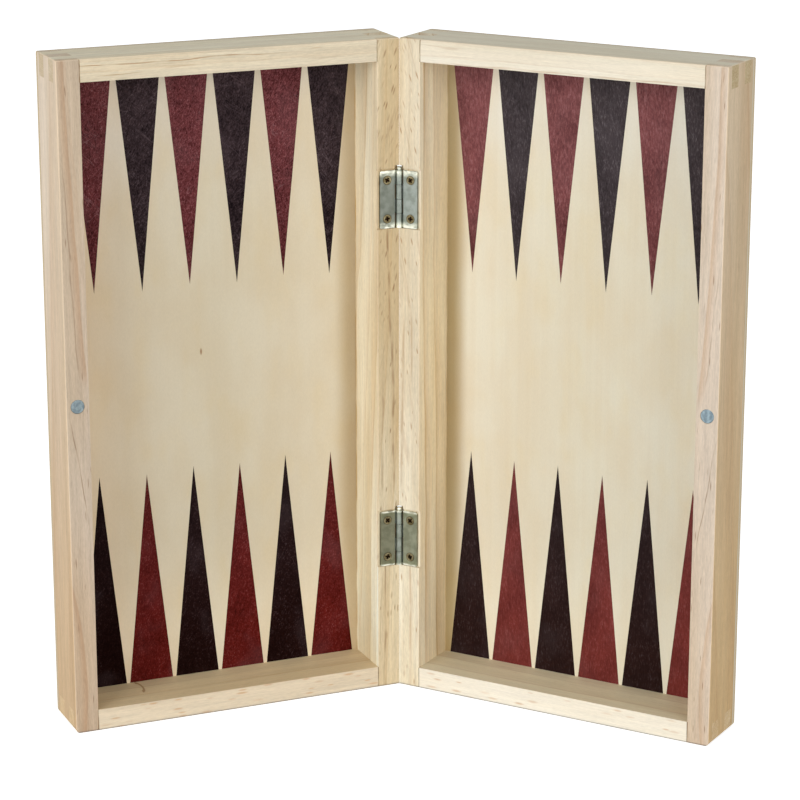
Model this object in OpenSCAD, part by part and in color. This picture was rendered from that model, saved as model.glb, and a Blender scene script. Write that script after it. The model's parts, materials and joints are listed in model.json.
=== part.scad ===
// Folding wooden game box for chess, draughts and backgammon.
// Two equal trays are hinged along one long side. Here they stand on their short ends,
// part open, with the backgammon insides towards -Y and the chequered outsides towards +Y.
// Each tray is drawn in tray coordinates, with its origin on the hinge axis: x runs across
// the tray, y runs from the rim to the back, and z runs along the hinge axis.

/* [Trays] */
// Length of a tray, along the hinge side
tray_l = 290; // [240:1:360]
// Width of a tray, from the hinge side to the outer side
tray_w = 150; // [125:1:190]
// Depth of a tray, with its panel
tray_d = 28; // [24:0.5:40]
// Thickness of the hinge wall and the outer wall
side_t = 10; // [9.5:0.1:14]
// Thickness of the two end walls
end_t = 9.5; // [7:0.1:14]
// Thickness of the plywood panel glued to the back of the frame
panel_t = 3; // [2:0.1:5]
// Angle between the two trays as they stand
open_angle = 127.5; // [60:0.5:170]
// Gap between the trays where they meet, closed or opened flat
fold_gap = 0.05; // [0.05:0.05:0.8]

/* [Finger joints] */
// Number of fingers on each end of an end wall
finger_count = 2; // [1:1:3]
// Side wall left in front of the first finger
first_land = 3.4; // [2:0.1:6]
// Side wall left behind the last finger
last_land = 1.8; // [1:0.1:4]

/* [Backgammon points] */
// Depth of the stained layers
stain_t = 0.3; // [0.2:0.05:0.6]
// Number of points in one row of a tray
point_count = 6; // [4:1:8]
// Bare floor between the hinge wall and the first point
hinge_margin = 2.4; // [1:0.1:6]
// Bare floor between the last point and the outer wall
outer_margin = 1.3; // [0.5:0.1:6]
// Bare floor between the feet of two points
point_gap = 1.5; // [0.8:0.1:5]
// Length of a red point
red_point_l = 94.5; // [70:0.5:105]
// Length of a dark point
dark_point_l = 95.7; // [70:0.1:105]

/* [Chequered board] */
// Squares across one tray
columns = 4; // [2:1:6]
// Squares along one tray
rows = 8; // [6:1:12]
// Least bare border between the squares and the edge of the board
board_border = 9; // [4:0.5:16]
// Light line between two neighbouring squares
square_gap = 0.3; // [0.2:0.05:1]

/* [Hinges] */
// Distance from the end of a tray to the middle of a hinge
hinge_from_end = 69; // [45:0.5:95]
// Length of a hinge
leaf_l = 25; // [20:0.5:35]
// Reach of a hinge leaf from the hinge axis
leaf_w = 8.8; // [7.5:0.1:9.4]
// Thickness of a hinge leaf
leaf_t = 1; // [0.7:0.05:1.2]
// Depth of a leaf's face below the rim
leaf_sink = 0.05; // [0:0.05:0.15]
// Diameter of the hinge barrel
barrel_d = 3; // [2.8:0.1:3.6]
// Number of knuckles in a barrel
knuckles = 4; // [4:1:6]
// Radius of a leaf's outer corners
leaf_corner_r = 0.6; // [0.2:0.1:1.5]
// Thickness of a leaf in the groove beside its barrel
neck_t = 0.4; // [0.2:0.05:0.6]
// Gap between two knuckles
knuckle_gap = 0.15; // [0.1:0.05:0.3]
// Width of the gap round a barrel, and of the groove beside it
barrel_gap = 0.5; // [0.3:0.05:0.7]
// Room in the mortise above a hinge
mortise_above = 0.9; // [0.2:0.1:2]
// Room in the mortise below a hinge
mortise_below = 0.2; // [0.1:0.1:2]
// Diameter of a hinge pin
pin_d = 1.6; // [1.2:0.1:1.8]
// Running clearance round a hinge pin
pin_clearance = 0.05; // [0.02:0.01:0.1]
// Diameter of a pin's head
pin_head_d = 2.2; // [2:0.1:2.8]
// Height of a pin's head
pin_head_h = 1.6; // [1:0.1:2.5]

/* [Screws] */
// Distance from a screw to the end of its hinge leaf
screw_inset = 4.1; // [3:0.1:6]
// Diameter of a screw's head
screw_head_d = 3.8; // [3.2:0.1:4.4]
// Diameter of a screw's shank
shank_d = 2; // [1.6:0.1:2.4]
// Length of a screw
screw_l = 9; // [6:0.5:14]
// Gap round a screw's head
head_gap = 0.15; // [0.05:0.05:0.3]
// Gap round a screw's shank in the wood
shank_gap = 0.03; // [0.02:0.01:0.1]
// Width of the cross recess in a screw's head
cross_w = 0.7; // [0.4:0.1:0.8]
// Depth of the cross recess
cross_depth = 0.6; // [0.4:0.05:0.7]
// Metal left between the bottom of the cross recess and the cone of the head
cross_rim = 0.15; // [0.1:0.05:0.3]

/* [Magnets] */
// Diameter of a magnet
magnet_d = 6; // [4:0.5:7]
// Thickness of a magnet
magnet_t = 3; // [2:0.5:5]
// Depth of a magnet's face below the rim
magnet_sink = 0.05; // [0:0.05:0.3]
// Gap round a magnet
magnet_gap = 0.05; // [0.02:0.01:0.1]

/* [Hidden] */
$fn = 64;
// Room by which a cutting solid runs past the face it cuts
over = 1;
LEFT = -1;
RIGHT = 1;
pine = "BurlyWood";
plywood = "Wheat";
dark_stain = [0.14, 0.10, 0.10];
red_stain = [0.42, 0.14, 0.14];
steel = "Silver";
brass = "DarkGoldenrod";

// Planes of a tray
near = fold_gap / 2;
far_x = near + tray_w;
frame_d = tray_d - panel_t;
panel_y = near + frame_d;
back_y = near + tray_d;

// Hinge axis, which puts the middle of the standing box over the origin
lean = open_angle / 2;
spine_y = ((far_x + near) * cos(lean) - (back_y + near) * sin(lean)) / 2;

// Finger joints
finger_w = (frame_d - first_land - last_land) / (2 * finger_count - 1);
finger_ys = [for (i = [0 : finger_count - 1]) near + first_land + 2 * i * finger_w];

// Points
field_x = near + side_t + hinge_margin;
point_pitch = (tray_w - 2 * side_t - hinge_margin - outer_margin + point_gap) / point_count;
point_w = point_pitch - point_gap;

// Squares
square_size = min((tray_w - board_border) / columns, (tray_l - 2 * board_border) / rows);
board_z = (tray_l - rows * square_size) / 2;

// Hinges and screws
lower_z = hinge_from_end - leaf_l / 2;
upper_z = tray_l - hinge_from_end - leaf_l / 2;
leaf_y = near + leaf_sink;
seat_y = leaf_y + leaf_t;
barrel_r = barrel_d / 2;
notch_r = barrel_r + barrel_gap;
bore_r = pin_d / 2 + pin_clearance;
knuckle_l = (leaf_l - (knuckles - 1) * knuckle_gap) / knuckles;
knuckle_pitch = knuckle_l + knuckle_gap;
pin_dome = pin_head_h / 4;
screw_x = (notch_r + leaf_w) / 2;
screw_zs = [screw_inset, leaf_l - screw_inset];
head_h = (screw_head_d - shank_d) / 2;
cross_span = screw_head_d - 2 * (cross_depth + cross_rim);
screw_tip = shank_d;
tip_r = shank_d / 10;
first_turn = 15;
screw_turn = 35;

// Magnets
magnet_x = far_x - side_t / 2;
magnet_z = tray_l / 2;

// Puts a solid drawn in tray coordinates where the left or right tray stands.
module place(side) {
    translate([0, spine_y, 0])
        mirror([side == LEFT ? 1 : 0, 0, 0])
            rotate([0, 0, lean - 90])
                children();
}

// Box between two opposite corners.
module slab(low, high) {
    translate(low) cube(high - low);
}

// Round bar along y, from y = 0 into the wood.
module bar_y(r, h) {
    rotate([-90, 0, 0]) cylinder(r = r, h = h);
}

// Outline drawn in x and z, made thick along y from y = 0.
module plate_y(h) {
    translate([0, h, 0]) rotate([90, 0, 0]) linear_extrude(h) children();
}

// Hinge wall or outer wall, with slots at its ends for the fingers of the end walls.
module side_wall(x) {
    difference() {
        slab([x, near, 0], [x + side_t, panel_y, tray_l]);
        for (y = finger_ys) {
            slab([x - over, y, -over], [x + side_t + over, y + finger_w, end_t]);
            slab([x - over, y, tray_l - end_t], [x + side_t + over, y + finger_w, tray_l + over]);
        }
    }
}

module outer_wall() {
    difference() {
        side_wall(far_x - side_t);
        translate([magnet_x, near - over, magnet_z])
            bar_y(magnet_d / 2 + magnet_gap, over + magnet_sink + magnet_t);
    }
}

module hinge_wall() {
    difference() {
        side_wall(near);
        for (z = [lower_z, upper_z])
            translate([0, 0, z]) hinge_seat();
    }
}

// Wood taken out for one hinge: its mortise, room for its barrel, and its screw holes.
module hinge_seat() {
    slab([0, 0, -mortise_below], [near + side_t + over, seat_y, leaf_l + mortise_above]);
    translate([0, 0, -mortise_below])
        cylinder(r = notch_r, h = mortise_below + leaf_l + pin_head_h + barrel_gap);
    for (z = screw_zs)
        translate([screw_x, 0, z]) bar_y(shank_d / 2 + shank_gap, leaf_y + screw_l + barrel_gap);
}

// End wall at the bottom of a tray, with its fingers through both side walls.
module end_wall() {
    slab([near + side_t, near, 0], [far_x - side_t, panel_y, end_t]);
    for (y = finger_ys)
        slab([near, y, 0], [far_x, y + finger_w, end_t]);
}

// One row of points at the bottom of a tray: every second one, from the given place on.
module point_row(first, length, thickness) {
    for (k = [first : 2 : point_count - 1])
        translate([field_x + k * point_pitch, 0, end_t])
            plate_y(thickness) polygon([[0, 0], [point_w, 0], [point_w / 2, length]]);
}

// Points of one colour. The row below starts at the given place from the hinge wall, and the
// row above, which hangs from the top wall, starts at the other place.
module points(first, length, thickness) {
    point_row(first, length, thickness);
    translate([0, 0, tray_l]) mirror([0, 0, 1]) point_row(1 - first, length, thickness);
}

// Dark squares of one tray. The squares' colours alternate across the fold.
module squares(first, thickness) {
    for (row = [0 : rows - 1], column = [0 : columns - 1])
        if ((row + column + first) % 2 == 0)
            translate([near + column * square_size, 0, board_z + row * square_size])
                plate_y(thickness)
                    translate([square_gap / 2, square_gap / 2]) square(square_size - square_gap);
}

// Panel of a tray, with shallow pockets where its faces are stained.
module panel(red_first, squares_first) {
    difference() {
        slab([near, panel_y, 0], [far_x, back_y, tray_l]);
        translate([0, panel_y - over, 0]) {
            points(red_first, red_point_l, over + stain_t);
            points(1 - red_first, dark_point_l, over + stain_t);
        }
        translate([0, back_y - stain_t, 0]) squares(squares_first, stain_t + over);
    }
}

// Flat part of a hinge leaf, with two rounded corners and a groove where the barrel lies.
module leaf_plate() {
    difference() {
        union() {
            slab([0, leaf_y, 0], [leaf_w - leaf_corner_r, seat_y, leaf_l]);
            slab([0, leaf_y, leaf_corner_r], [leaf_w, seat_y, leaf_l - leaf_corner_r]);
            for (z = [leaf_corner_r, leaf_l - leaf_corner_r])
                translate([leaf_w - leaf_corner_r, leaf_y, z]) bar_y(leaf_corner_r, leaf_t);
        }
        slab([-over, leaf_y - over, -over], [notch_r, seat_y - neck_t, leaf_l + over]);
    }
}

// Hinge leaf with every second knuckle, counted from the bottom.
module leaf(first) {
    difference() {
        union() {
            leaf_plate();
            for (i = [first : 2 : knuckles - 1])
                translate([0, 0, i * knuckle_pitch]) cylinder(r = barrel_r, h = knuckle_l);
        }
        for (i = [1 - first : 2 : knuckles - 1])
            translate([0, 0, i * knuckle_pitch - knuckle_gap])
                cylinder(r = notch_r, h = knuckle_l + 2 * knuckle_gap);
        translate([0, 0, -over]) cylinder(r = bore_r, h = leaf_l + 2 * over);
        for (z = screw_zs)
            translate([screw_x, 0, z]) countersink();
    }
}

// Hole for a countersunk screw, through a leaf.
module countersink() {
    bar_y(shank_d / 2 + head_gap, seat_y + over);
    translate([0, leaf_y - over, 0])
        rotate([-90, 0, 0])
            cylinder(r1 = screw_head_d / 2 + head_gap + over, r2 = shank_d / 2 + head_gap, h = head_h + over);
}

// Pin with a domed head, which stands on the top knuckle.
module pin() {
    translate([0, 0, -mortise_below / 2])
        cylinder(r = pin_d / 2, h = leaf_l + pin_head_h / 2);
    translate([0, 0, leaf_l]) {
        cylinder(r = pin_head_d / 2, h = pin_head_h - pin_dome);
        translate([0, 0, pin_head_h - pin_dome])
            cylinder(r1 = pin_head_d / 2, r2 = pin_head_d / 2 - pin_dome, h = pin_dome);
    }
}

// Wood screw with a cross recess, its head's face at z = 0 and its tip down.
module screw(turn) {
    difference() {
        rotate_extrude()
            polygon([
                [0, 0], [screw_head_d / 2, 0], [shank_d / 2, -head_h],
                [shank_d / 2, screw_tip - screw_l], [tip_r, -screw_l], [0, -screw_l]
            ]);
        for (a = [0, 90])
            rotate([0, 0, turn + a])
                translate([-cross_span / 2, -cross_w / 2, -cross_depth])
                    cube([cross_span, cross_w, cross_depth + over]);
    }
}

// The four screws of a tray, each turned a little differently.
module hinge_screws() {
    for (i = [0, 1], j = [0, 1])
        translate([screw_x, leaf_y, [lower_z, upper_z][i] + screw_zs[j]])
            rotate([90, 0, 0]) screw(first_turn + (2 * i + j) * screw_turn);
}

module magnet() {
    translate([magnet_x, near + magnet_sink, magnet_z]) bar_y(magnet_d / 2, magnet_t);
}

module left_outer_wall() { color(pine) place(LEFT) outer_wall(); }
module left_hinge_wall() { color(pine) place(LEFT) hinge_wall(); }
module left_top_wall() { color(pine) place(LEFT) translate([0, 0, tray_l - end_t]) end_wall(); }
module left_bottom_wall() { color(pine) place(LEFT) end_wall(); }
module left_floor_panel() { color(plywood) place(LEFT) panel(0, 1); }
module left_red_points() {
    color(red_stain) place(LEFT) translate([0, panel_y, 0]) points(0, red_point_l, stain_t);
}
module left_dark_points() {
    color(dark_stain) place(LEFT) translate([0, panel_y, 0]) points(1, dark_point_l, stain_t);
}
module left_dark_squares() {
    color(dark_stain) place(LEFT) translate([0, back_y - stain_t, 0]) squares(1, stain_t);
}
module left_magnet() { color(steel) place(LEFT) magnet(); }

module right_outer_wall() { color(pine) place(RIGHT) outer_wall(); }
module right_hinge_wall() { color(pine) place(RIGHT) hinge_wall(); }
module right_top_wall() { color(pine) place(RIGHT) translate([0, 0, tray_l - end_t]) end_wall(); }
module right_bottom_wall() { color(pine) place(RIGHT) end_wall(); }
module right_floor_panel() { color(plywood) place(RIGHT) panel(1, 0); }
module right_red_points() {
    color(red_stain) place(RIGHT) translate([0, panel_y, 0]) points(1, red_point_l, stain_t);
}
module right_dark_points() {
    color(dark_stain) place(RIGHT) translate([0, panel_y, 0]) points(0, dark_point_l, stain_t);
}
module right_dark_squares() {
    color(dark_stain) place(RIGHT) translate([0, back_y - stain_t, 0]) squares(0, stain_t);
}
module right_magnet() { color(steel) place(RIGHT) magnet(); }

module upper_hinge_left_leaf() { color(steel) place(LEFT) translate([0, 0, upper_z]) leaf(1); }
module upper_hinge_right_leaf() { color(steel) place(RIGHT) translate([0, 0, upper_z]) leaf(0); }
module upper_hinge_pin() { color(steel) place(LEFT) translate([0, 0, upper_z]) pin(); }
module lower_hinge_left_leaf() { color(steel) place(LEFT) translate([0, 0, lower_z]) leaf(1); }
module lower_hinge_right_leaf() { color(steel) place(RIGHT) translate([0, 0, lower_z]) leaf(0); }
module lower_hinge_pin() { color(steel) place(LEFT) translate([0, 0, lower_z]) pin(); }
module left_hinge_screws() { color(brass) place(LEFT) hinge_screws(); }
module right_hinge_screws() { color(brass) place(RIGHT) hinge_screws(); }

left_outer_wall();
left_hinge_wall();
left_top_wall();
left_bottom_wall();
left_floor_panel();
left_red_points();
left_dark_points();
left_dark_squares();
left_magnet();
right_outer_wall();
right_hinge_wall();
right_top_wall();
right_bottom_wall();
right_floor_panel();
right_red_points();
right_dark_points();
right_dark_squares();
right_magnet();
upper_hinge_left_leaf();
upper_hinge_right_leaf();
upper_hinge_pin();
lower_hinge_left_leaf();
lower_hinge_right_leaf();
lower_hinge_pin();
left_hinge_screws();
right_hinge_screws();
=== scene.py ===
"""Looks of a folding wooden game box: pine frames, plywood floors, stained points, small steel hinges.

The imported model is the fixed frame, in metres, +Z up. Every wooden part keeps its solid and gets
sanded edges and a procedural material, laid out in tray coordinates: x runs across a tray from the
hinge axis, y runs from the rim to the back, and z runs along the hinge axis.
"""
import json
import math

import bpy
from mathutils import Matrix, Vector

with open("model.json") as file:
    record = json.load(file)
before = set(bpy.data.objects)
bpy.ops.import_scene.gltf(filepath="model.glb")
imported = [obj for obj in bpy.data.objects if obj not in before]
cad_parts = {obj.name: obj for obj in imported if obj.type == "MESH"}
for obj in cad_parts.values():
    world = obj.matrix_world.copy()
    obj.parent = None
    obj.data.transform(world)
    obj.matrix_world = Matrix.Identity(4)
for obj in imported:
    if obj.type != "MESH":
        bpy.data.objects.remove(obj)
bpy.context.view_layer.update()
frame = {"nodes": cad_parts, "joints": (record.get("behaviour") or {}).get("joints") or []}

MM = 0.001
NODES = frame["nodes"]
FOLD = next(joint for joint in frame["joints"] if joint["name"] == "fold")

# Trays: the angle between them, and the hinge axis
OPEN_ANGLE = math.radians(-FOLD["range_deg"][0])
LEAN = OPEN_ANGLE / 2
SPINE_Y = FOLD["pos_m"][1]
SIDES = {"left": -1, "right": 1}

# Camera: in front of the box, a little to the right and above it
CAMERA_PLACE = Vector((0.0685, SPINE_Y - 1.2500, 0.4893))
CAMERA_YAW = math.radians(3.12)
CAMERA_PITCH = math.radians(-15.94)
CAMERA_LENS = 134.86
SENSOR_WIDTH = 36.0


def tray_matrix(side):
    """Row frame to tray coordinates."""
    mirror = Matrix.Diagonal((SIDES[side], 1, 1, 1))
    return Matrix.Rotation(math.pi / 2 - LEAN, 4, "Z") @ Matrix.Translation((0, -SPINE_Y, 0)) @ mirror


def tray_box(side, node):
    """Lowest and highest corner of a node in its tray's coordinates, in metres."""
    to_tray = tray_matrix(side)
    corners = [to_tray @ vertex.co for vertex in NODES[node].data.vertices]
    low = Vector([min(corner[i] for corner in corners) for i in range(3)])
    high = Vector([max(corner[i] for corner in corners) for i in range(3)])
    return low, high


OUTER_LOW, OUTER_HIGH = tray_box("right", "right_outer_wall")
HINGE_LOW, HINGE_HIGH = tray_box("right", "right_hinge_wall")
_, END_HIGH = tray_box("right", "right_bottom_wall")
SCREW_LOW, SCREW_HIGH = tray_box("right", "right_hinge_screws")
PANEL_LOW, PANEL_HIGH = tray_box("right", "right_floor_panel")
TRAY_LOW = Vector((PANEL_LOW.x, OUTER_LOW.y, PANEL_LOW.z))
TRAY_HIGH = PANEL_HIGH

# The same places in millimetres, for the materials
FLOOR_Y = OUTER_HIGH.y / MM
BACK_Y = PANEL_HIGH.y / MM
INSIDE_LOW_X = HINGE_HIGH.x / MM
INSIDE_HIGH_X = OUTER_LOW.x / MM
END_T = END_HIGH.z / MM
LENGTH = PANEL_HIGH.z / MM


def srgb(red, green, blue):
    """Linear colour of a colour as a screen shows it, from 0 to 255."""
    def linear(c):
        c /= 255
        return c / 12.92 if c <= 0.04045 else ((c + 0.055) / 1.055) ** 2.4
    return (linear(red), linear(green), linear(blue), 1.0)


class Graph:
    """Adds nodes to a node tree. Each call returns the new node's output socket."""

    def __init__(self, tree):
        self.tree = tree

    def node(self, kind, inputs=None, output=0, **settings):
        new = self.tree.nodes.new(kind)
        for name, value in settings.items():
            setattr(new, name, value)
        for key, value in (inputs or {}).items():
            self.feed(new.inputs[key], value)
        return new.outputs[output]

    def feed(self, socket, value):
        if isinstance(value, bpy.types.NodeSocket):
            self.tree.links.new(value, socket)
        else:
            socket.default_value = value

    def math(self, operation, a, b=0.0):
        return self.node("ShaderNodeMath", {0: a, 1: b}, operation=operation)

    def add(self, *values):
        total = values[0]
        for value in values[1:]:
            total = self.math("ADD", total, value)
        return total

    def times(self, *values):
        product = values[0]
        for value in values[1:]:
            product = self.math("MULTIPLY", product, value)
        return product

    def minus(self, a, b):
        return self.math("SUBTRACT", a, b)

    def apart(self, a, b):
        """How far two values lie from each other."""
        return self.math("ABSOLUTE", self.minus(a, b))

    def vector(self, operation, a, b=(0.0, 0.0, 0.0), output=0):
        return self.node("ShaderNodeVectorMath", {0: a, 1: b}, output, operation=operation)

    def turn_z(self, vector, angle):
        return self.node("ShaderNodeVectorRotate", {"Vector": vector, "Angle": angle},
                         rotation_type="Z_AXIS")

    def parts(self, vector):
        split = self.tree.nodes.new("ShaderNodeSeparateXYZ")
        self.feed(split.inputs[0], vector)
        return split.outputs[0], split.outputs[1], split.outputs[2]

    def join(self, x, y, z=0.0):
        return self.node("ShaderNodeCombineXYZ", {0: x, 1: y, 2: z})

    def length(self, x, y):
        """Length of a flat vector."""
        return self.vector("LENGTH", self.join(x, y), output="Value")

    def noise(self, vector, detail=2.0, roughness=0.5, output=0):
        """Noise with one lump per unit of the vector, mostly from 0.3 to 0.7. Output 1 is in colour,
        which gives three values."""
        return self.node("ShaderNodeTexNoise", {
            "Vector": vector, "Scale": 1.0, "Detail": detail, "Roughness": roughness}, output)

    def ramp(self, value, low, high, to_low=0.0, to_high=1.0, smooth=True):
        """The value carried from one range to another and held inside it."""
        return self.node("ShaderNodeMapRange", {
            "Value": value, "From Min": low, "From Max": high, "To Min": to_low, "To Max": to_high},
            interpolation_type="SMOOTHSTEP" if smooth else "LINEAR")

    def swing(self, noise, amount):
        """Noise carried to the range from -amount to +amount."""
        return self.ramp(noise, 0.3, 0.7, -amount, amount, False)

    def mix(self, share, a, b, blend="MIX"):
        return self.node("ShaderNodeMix", {0: share, 6: a, 7: b}, 2, data_type="RGBA", blend_type=blend)

    def tint(self, colour, factors, share=1.0):
        """The colour times three factors, as far as the share says."""
        return self.mix(share, colour, tuple(factors) + (1.0,), "MULTIPLY")

    def brighten(self, colour, amount):
        """The colour times 1 + amount."""
        lit = self.math("ADD", amount, 1.0)
        grey = self.node("ShaderNodeCombineColor", {0: lit, 1: lit, 2: lit})
        return self.mix(1.0, colour, grey, "MULTIPLY")


def tray_coordinates(graph, side, place):
    """Tray coordinates, in metres, of a place in the row frame."""
    mirrored = graph.vector("MULTIPLY", place, (SIDES[side], 1, 1))
    moved = graph.vector("SUBTRACT", mirrored, (0, SPINE_Y, 0))
    return graph.turn_z(moved, math.pi / 2 - LEAN)


# Sanded edges: rounding of the lower outer corners and of the other outer edges. The spine and the
# joints stay sharp.
CORNER_ROUND = 2.4 * MM
CORNER_SEGMENTS = 4
EDGE_ROUND = 0.7 * MM
# Rounding of the edges of the hinges and of the magnets
HINGE_ROUND = 0.1 * MM
MAGNET_ROUND = 0.2 * MM
# An edge counts as lying on a plane where both its ends are nearer to it than this
TOUCH = 0.02 * MM
WELD_GAP = 0.001 * MM
FLAT_ANGLE = math.radians(0.5)
SHARP_ANGLE = math.radians(40)


def edge_rounding(side):
    """Geometry nodes that weigh each edge of a wooden part by how far the sanding rounded it."""
    group = bpy.data.node_groups.new("sanded_edges_" + side, "GeometryNodeTree")
    group.interface.new_socket("Geometry", in_out="INPUT", socket_type="NodeSocketGeometry")
    group.interface.new_socket("Geometry", in_out="OUTPUT", socket_type="NodeSocketGeometry")
    graph = Graph(group)
    start = group.nodes.new("NodeGroupInput").outputs[0]
    ends = group.nodes.new("GeometryNodeInputMeshEdgeVertices")
    first = tray_coordinates(graph, side, ends.outputs["Position 1"])
    second = tray_coordinates(graph, side, ends.outputs["Position 2"])

    def on_planes(corner):
        """Whether an edge lies on each of the three planes through a corner of the tray."""
        away = [graph.vector("ABSOLUTE", graph.vector("SUBTRACT", end, corner))
                for end in (first, second)]
        furthest = graph.vector("MAXIMUM", away[0], away[1])
        return [graph.math("LESS_THAN", part, TOUCH) for part in graph.parts(furthest)]

    def choose(share, a, b):
        return graph.node("ShaderNodeMix", {0: share, 2: a, 3: b}, data_type="FLOAT")

    low = on_planes(tuple(TRAY_LOW))
    high = on_planes(tuple(TRAY_HIGH))
    outer = graph.math("GREATER_THAN", graph.add(*low, *high), 1.5)
    size = choose(graph.times(high[0], low[2]), EDGE_ROUND, CORNER_ROUND)
    size = graph.times(size, outer, graph.minus(1.0, low[0]))
    store = group.nodes.new("GeometryNodeStoreNamedAttribute")
    store.data_type = "FLOAT"
    store.domain = "EDGE"
    graph.feed(store.inputs["Geometry"], start)
    graph.feed(store.inputs["Name"], "bevel_weight_edge")
    graph.feed(store.inputs["Value"], graph.math("DIVIDE", size, CORNER_ROUND))
    end = group.nodes.new("NodeGroupOutput")
    graph.feed(end.inputs[0], store.outputs[0])
    return group


def clean_faces(part):
    """Joins the triangles of a flat face into one face."""
    weld = part.modifiers.new("weld", "WELD")
    weld.merge_threshold = WELD_GAP
    flat = part.modifiers.new("flat_faces", "DECIMATE")
    flat.decimate_type = "DISSOLVE"
    flat.angle_limit = FLAT_ANGLE


def round_edges(part, width, segments, weighed=False):
    bevel = part.modifiers.new("rounded_edges", "BEVEL")
    bevel.width = width
    bevel.segments = segments
    bevel.limit_method = "WEIGHT" if weighed else "ANGLE"
    bevel.angle_limit = SHARP_ANGLE
    bevel.use_clamp_overlap = True
    even = part.modifiers.new("flat_shading", "WEIGHTED_NORMAL")
    even.weight = 100
    even.keep_sharp = True


def sand(part, group, split=False):
    """Rounds the edges of a wooden part as sandpaper does. A face with many holes stays split
    into triangles."""
    clean_faces(part)
    if split:
        part.modifiers.new("triangles", "TRIANGULATE")
    weigh = part.modifiers.new("edge_rounding", "NODES")
    weigh.node_group = group
    round_edges(part, CORNER_ROUND, CORNER_SEGMENTS, weighed=True)


class Finish(Graph):
    """A new material. x, y and z are tray coordinates in millimetres, and facing holds the three
    parts of the surface's direction in tray coordinates."""

    def __init__(self, name, side, seed):
        self.material = bpy.data.materials.new(name)
        self.material.use_nodes = True
        super().__init__(self.material.node_tree)
        self.tree.nodes.clear()
        self.shader = self.tree.nodes.new("ShaderNodeBsdfPrincipled")
        out = self.tree.nodes.new("ShaderNodeOutputMaterial")
        self.tree.links.new(self.shader.outputs[0], out.inputs[0])
        self.shift = (seed * 17.3, seed * 9.1, seed * 5.7)
        self.seen = self.tree.nodes.new("ShaderNodeTexCoord").outputs
        place = tray_coordinates(self, side, self.seen["Object"])
        self.x, self.y, self.z = self.parts(self.vector("MULTIPLY", place, (1 / MM,) * 3))
        mirrored = self.vector("MULTIPLY", self.seen["Normal"], (SIDES[side], 1, 1))
        self.facing = self.parts(self.turn_z(mirrored, math.pi / 2 - LEAN))

    def turned(self, axis, way):
        """1 where the surface looks along an axis of the tray, towards +1 or -1."""
        return self.ramp(self.times(self.facing[axis], way), 0.5, 0.8)

    def lumps(self, sizes, places=None):
        """Coordinates with one unit per given size in x, y and z."""
        places = places or (self.x, self.y, self.z)
        scaled = [self.math("DIVIDE", place, size) for place, size in zip(places, sizes)]
        return self.vector("ADD", self.join(*scaled), self.shift)

    def cells(self, vector):
        """Flat cells: how far a point lies from its cell's middle, and three random values a cell."""
        distance, random = [
            self.node("ShaderNodeTexVoronoi", {"Vector": vector, "Scale": 1.0}, output,
                      voronoi_dimensions="2D", feature="F1") for output in ("Distance", "Color")]
        return distance, self.parts(random)

    def finish(self, colour, roughness, specular=0.2, metallic=0.0):
        self.feed(self.shader.inputs["Base Color"], colour)
        self.feed(self.shader.inputs["Roughness"], roughness)
        self.shader.inputs["Specular IOR Level"].default_value = specular
        self.shader.inputs["Metallic"].default_value = metallic

    def bump(self, height, depth, strength):
        made = self.node("ShaderNodeBump", {"Strength": strength, "Distance": depth, "Height": height})
        self.feed(self.shader.inputs["Normal"], made)


# Wood colours
RESIN = srgb(128, 88, 50)
JOINT_LINE = srgb(112, 84, 48)
# amber line on the hinge walls' inner face along the floor
FLOOR_LINE_AMBER = srgb(184, 146, 80)
HAIR = srgb(150, 104, 58)
# painted shade along the seam between the trays
SEAM_SHADE_TINT = (0.88, 0.84, 0.78)
# painted contact shadow along the boards' lowest edges
CONTACT_SHADOW_TINT = (0.46, 0.48, 0.52)
# pale sanded wood with a painted highlight, for the rounded edges and the hinge wall's inner rim edge
SANDED_EDGE_HIGHLIGHT = srgb(236, 214, 186)
PLY_CORE = srgb(186, 162, 126)

# Sizes in the materials, in millimetres. A pair gives where a thing ends and where it is at full
# strength.
LAYER_T = 0.8  # outer layer of the plywood
RING_EDGE = 0.8  # sharp side of a ring line
RING_FADE = 12  # ends of a ring line
VEIN_FADE = (5, 8)  # ends of a vein, outside them and inside them
CONTACT_SHADOW_FADE = (1.1, 0.3)  # painted contact shadow on the lowest edge, as a height
JOINT_FADE = (0.35, 0.12)  # dark line of a butt joint, to each side of it
ARRIS_HIGHLIGHT_FADE = (0.6, 0.2)  # painted highlight on the inner edge of the hinge wall's rim, from the inside of the tray
SEAM_SHADE_FADE = (0.4, 0.0)  # painted shade on the rim along the seam between the trays
FLOOR_LINE_FADE = (1.3, 0.4)  # amber line on the inner face, above the floor
TIP_FADE = (95.0, 58.0)  # darker tips of the points, from half the height

# Pairs of heights, as shares of the tray's length
LOWER_END = (0.42, 0.12)  # the tints of the boards' lower ends fade in
UPPER_END = (0.55, 0.8)  # the resin flecks grow from few to many
WEAR_AND_SHEEN_END = (0.3, 0.85)  # the stain's wear and painted sheen grow from none to full

# Steepest part of the surface's direction, from a flat face to a sanded edge
EDGE_TURN = (0.98, 0.80)

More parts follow.
